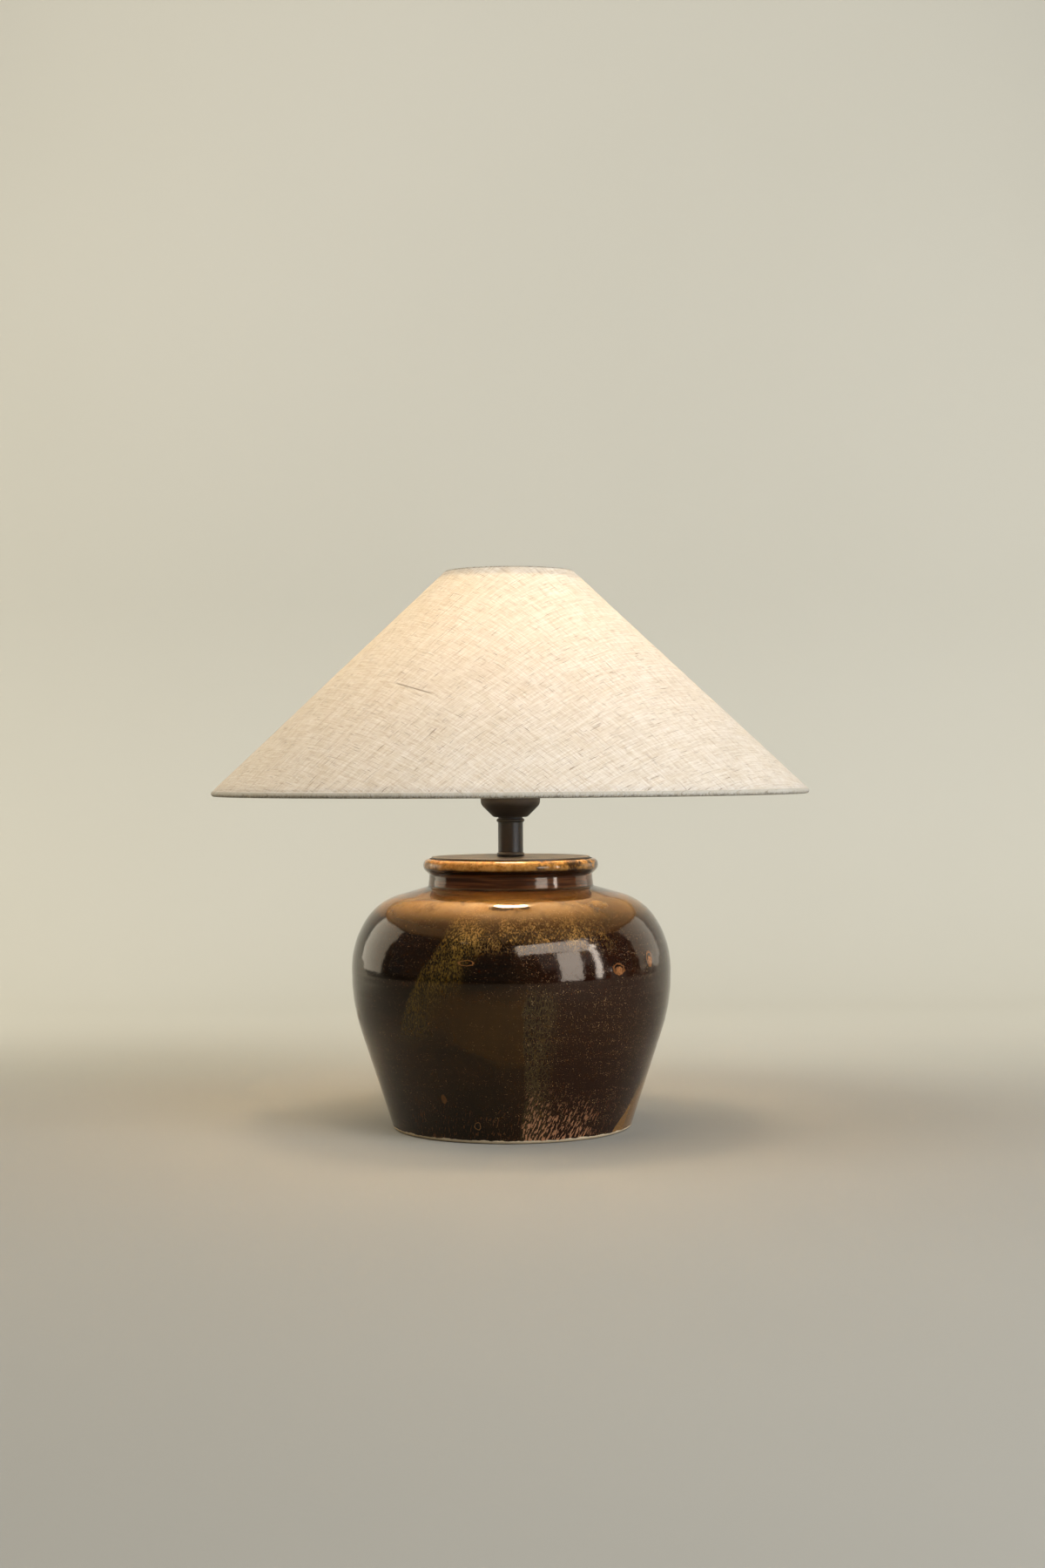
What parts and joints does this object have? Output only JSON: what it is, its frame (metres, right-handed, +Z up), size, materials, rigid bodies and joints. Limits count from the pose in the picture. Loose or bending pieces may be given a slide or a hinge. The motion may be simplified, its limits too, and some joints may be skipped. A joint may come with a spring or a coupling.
{
  "type": "table lamp",
  "caption": "Squat glazed stoneware jar with a rolled lip, a black pole and a screw lampholder that carries a bulb and a wide, low linen cone shade.",
  "frame": {"origin": "on the surface that the jar's foot stands on, at the axis of jar, pole and shade", "axes": "+Z up along that axis; +Y towards the back, where the lead enters the jar; +X to the right as the front is seen"},
  "size_m": [0.5, 0.4998, 0.4666],
  "materials": {
    "glazed_stoneware": "thick glossy iron glaze, dark brown to amber, with a bare cream clay foot",
    "rubber": "matt black",
    "plate_paint": "satin black",
    "disc_wood": "raw",
    "zinc_steel": "zinc plated",
    "tube_brass": "drawn",
    "pole_paint": "satin black",
    "cup_paint": "matt black",
    "holder_plastic": "moulded black",
    "porcelain": "unglazed white",
    "contact_brass": "bright",
    "spring_steel": "bright wire",
    "bulb_metal": "bright rolled",
    "bulb_insulation": "black vitreous",
    "bulb_glass": "white-coated, lit warm white",
    "stem_glass": "clear",
    "filament": "phosphor-coated",
    "frame_paint": "white powder coat",
    "lining": "translucent styrene sheet",
    "linen": "natural slubbed linen, translucent"
  },
  "bodies": {
    "base": {"jar": "glazed_stoneware", "cord_grommet": "rubber", "cover_plate": "plate_paint", "centring_disc": "disc_wood", "clamp_bar": "zinc_steel", "clamp_pads": "rubber", "clamp_washer": "zinc_steel", "clamp_nut": "zinc_steel", "threaded_tube": "tube_brass", "lower_pole_ring": "pole_paint", "pole": "pole_paint", "upper_pole_ring": "pole_paint", "holder_cup": "cup_paint", "holder_dome": "holder_plastic", "contact_block": "porcelain", "terminal_screws": "contact_brass", "side_contact": "contact_brass", "contact_spring": "spring_steel", "holder_skirt": "holder_plastic", "lower_shade_ring": "holder_plastic", "upper_shade_ring": "holder_plastic"},
    "contact": {"centre_contact": "contact_brass", "contact_clip": "spring_steel"},
    "bulb": {"bulb_tip": "bulb_metal", "bulb_insulator": "bulb_insulation", "bulb_cap": "bulb_metal", "bulb_glass": "bulb_glass", "bulb_stem": "stem_glass", "light_filaments": "filament"},
    "shade": {"fitter_ring": "frame_paint", "spider_arms": "frame_paint", "top_wire": "frame_paint", "hem_wire": "frame_paint", "shade_lining": "lining", "shade_linen": "linen"}
  },
  "joints": [
    {"name": "contact_travel", "type": "slide", "parent": "base", "child": "contact", "axis": [0, 0, 1], "range_m": [0, 0.002], "deforming": ["contact_spring"]},
    {"name": "bulb_turn", "type": "hinge", "parent": "contact", "child": "bulb", "pos_m": [0, 0, 0.31], "axis": [0, 0, 1], "range_deg": [0, 198]},
    {"name": "shade_turn", "type": "hinge", "parent": "base", "child": "shade", "pos_m": [0, 0, 0.293], "axis": [0, 0, 1], "continuous": true}
  ],
  "couplings": [
    {"joint": "bulb_turn", "follows": "contact_travel", "rad_per_m": 1731.4}
  ]
}
